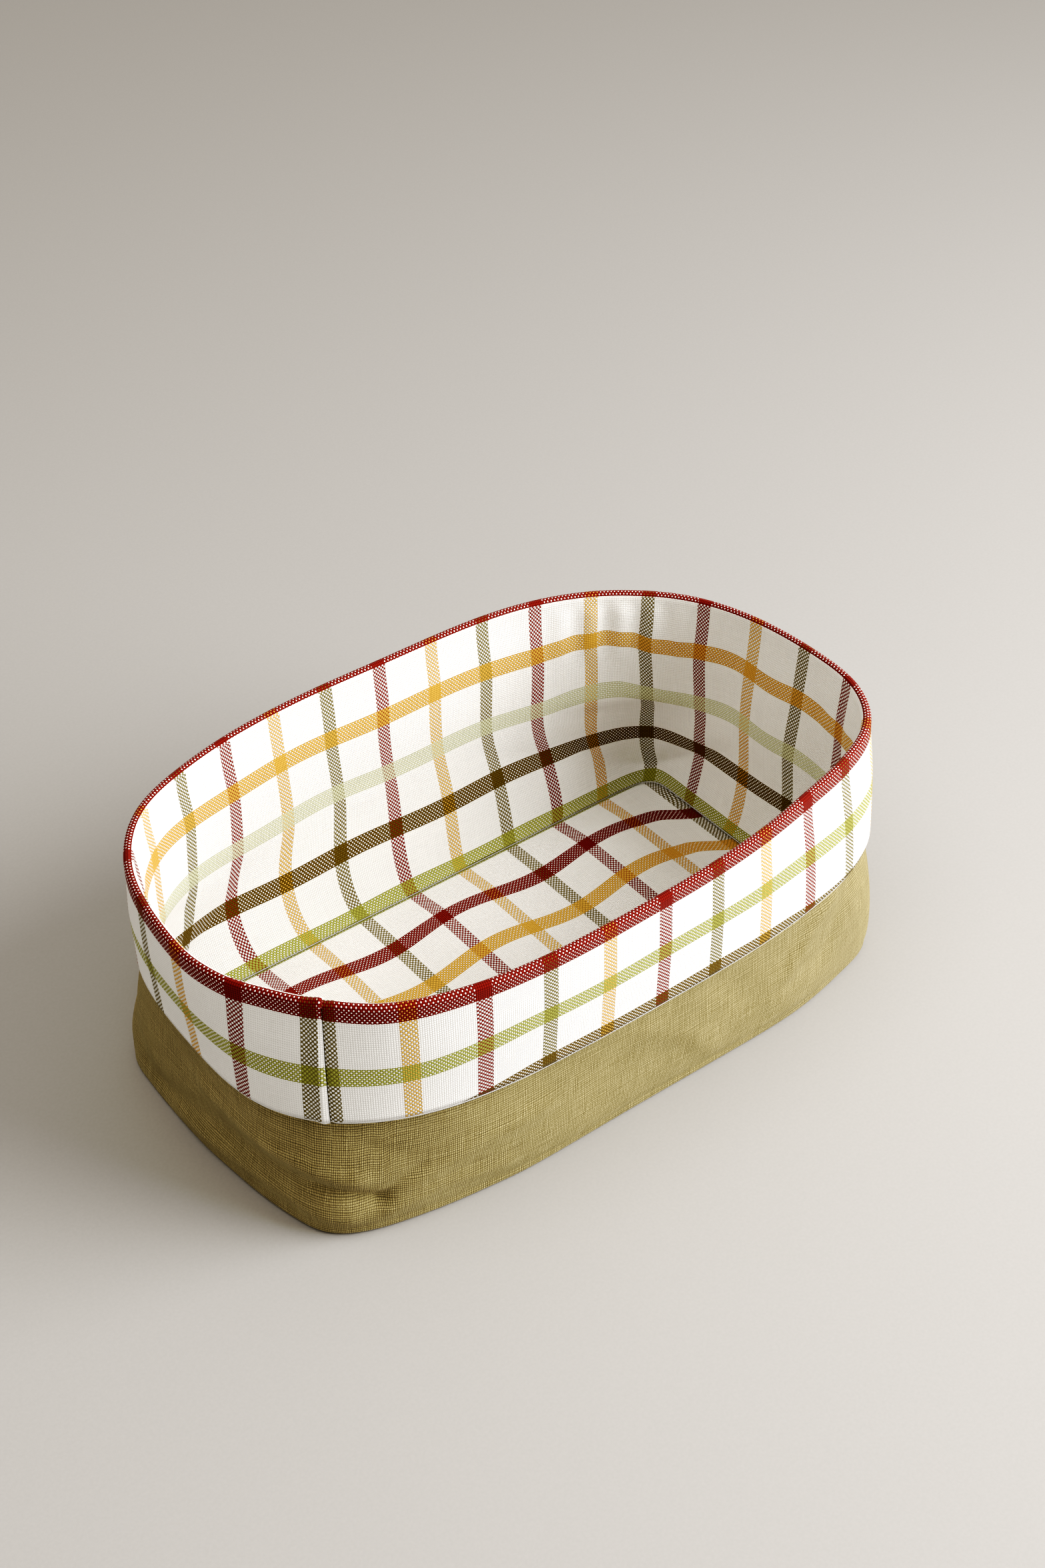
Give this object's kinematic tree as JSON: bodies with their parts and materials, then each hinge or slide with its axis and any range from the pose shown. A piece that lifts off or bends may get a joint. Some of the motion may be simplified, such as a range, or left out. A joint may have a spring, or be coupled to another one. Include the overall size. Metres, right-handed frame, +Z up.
{
  "type": "bread basket",
  "caption": "Soft oblong cloth basket with rounded corners; its checked lining folds down outside as a deep cuff over a plain canvas shell.",
  "frame": {"origin": "centre of the base, on the surface that the basket stands on", "axes": "+X along the basket's length, +Y across it, +Z up; the lining's side seam is at the -X -Y corner"},
  "size_m": [0.2702, 0.1716, 0.1012],
  "materials": {
    "olive_canvas": "plain-weave olive cotton canvas",
    "check_cotton": "white cotton with a woven burgundy, amber and green check",
    "interlining": "matte needled wadding",
    "seam_allowance": "raw-edged cloth",
    "thread": "spun polyester sewing thread"
  },
  "bodies": {
    "root": {"shell_wall": "olive_canvas", "shell_base": "olive_canvas", "shell_base_seam": "seam_allowance", "cuff_backing": "olive_canvas", "wall_interlining": "interlining", "base_interlining": "interlining", "lining_wall": "check_cotton", "lining_base": "check_cotton", "lining_base_seam": "seam_allowance", "cuff_face": "check_cotton", "cuff_hem": "check_cotton", "side_seam": "thread"}
  },
  "joints": []
}
